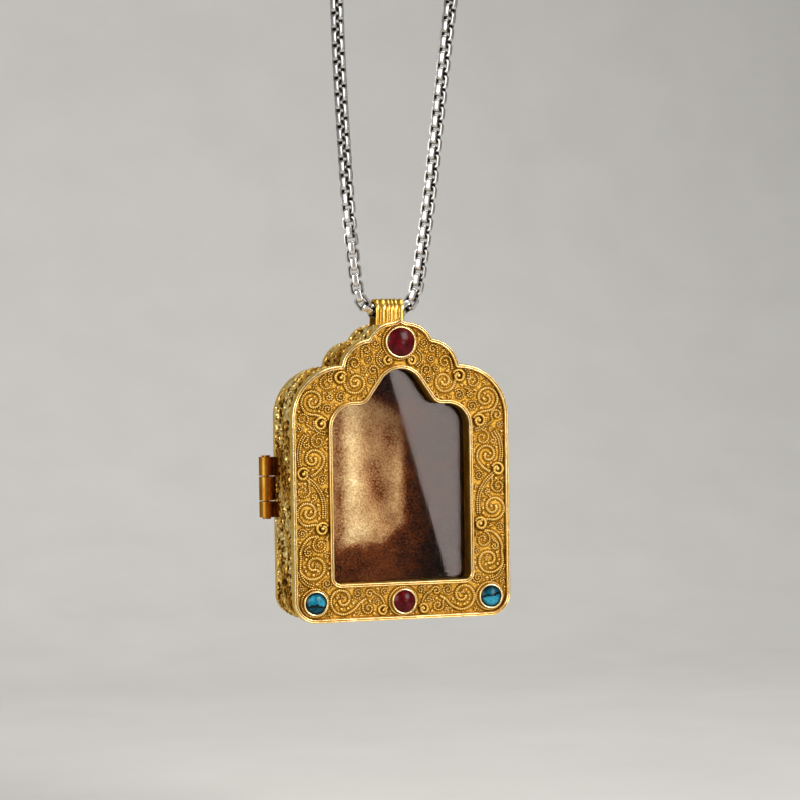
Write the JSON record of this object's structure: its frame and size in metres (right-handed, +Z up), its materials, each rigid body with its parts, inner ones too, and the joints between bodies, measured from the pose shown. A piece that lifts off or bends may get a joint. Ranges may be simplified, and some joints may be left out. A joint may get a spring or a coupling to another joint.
{
  "type": "ghau amulet box pendant",
  "caption": "Gilt lobed-arch amulet box with a glazed window, set stones and a hinged back, hung by a fluted bail on a silver box chain with a lobster clasp.",
  "frame": {"origin": "the point that the chain hangs from, straight above the bail in the chain's plane, level with the strands' upper ends", "axes": "+Z up, the window faces -Y, the door opens towards +Y, the hinge is on the -X side"},
  "size_m": [0.0424, 0.0158, 0.1263],
  "materials": {
    "gilt": "gilded, worn bright on the edges",
    "silver": "polished, dark between the links",
    "ruby": "polished dark red cabochon",
    "turquoise": "polished, with black matrix",
    "pane": "clear"
  },
  "bodies": {
    "chain": {"chain_left": "silver", "chain_right": "silver", "end_tag": "silver", "jump_ring": "silver", "clasp_body": "silver", "clasp_pin": "silver"},
    "case": {"outer_rim": "gilt", "front_plate": "gilt", "case_band": "gilt", "front_edge_wire": "gilt", "back_edge_wire": "gilt", "window_collar": "gilt", "pane_retainer": "gilt", "volutes": "gilt", "hinge_leaf_case": "gilt", "hinge_pin": "gilt", "bail": "gilt", "ruby_top_bezel": "gilt", "ruby_bottom_bezel": "gilt", "turquoise_left_bezel": "gilt", "turquoise_right_bezel": "gilt", "ruby_top_stone": "ruby", "ruby_bottom_stone": "ruby", "turquoise_left_stone": "turquoise", "turquoise_right_stone": "turquoise", "window_pane": "pane"},
    "door": {"rear_door": "gilt", "door_liner": "gilt", "hinge_leaf_door": "gilt"},
    "gate": {"clasp_gate": "silver"}
  },
  "joints": [
    {"name": "pendant_swing", "type": "hinge", "parent": "chain", "child": "case", "pos_m": [0, 0, -0.05865], "axis": [1, 0, 0], "range_deg": [-80, 80]},
    {"name": "door_hinge", "type": "hinge", "parent": "case", "child": "door", "pos_m": [-0.02125, 0.00525, -0.08965], "axis": [0, 0, 1], "range_deg": [0, 150]},
    {"name": "clasp_gate_pivot", "type": "hinge", "parent": "chain", "child": "gate", "pos_m": [-0.00918, -0.00038, 0.00561], "axis": [-0.5, 0.866, -0.0063], "range_deg": [0, 20], "stiffness_Nm_per_rad": 0.002, "springref_deg": -11.46}
  ]
}
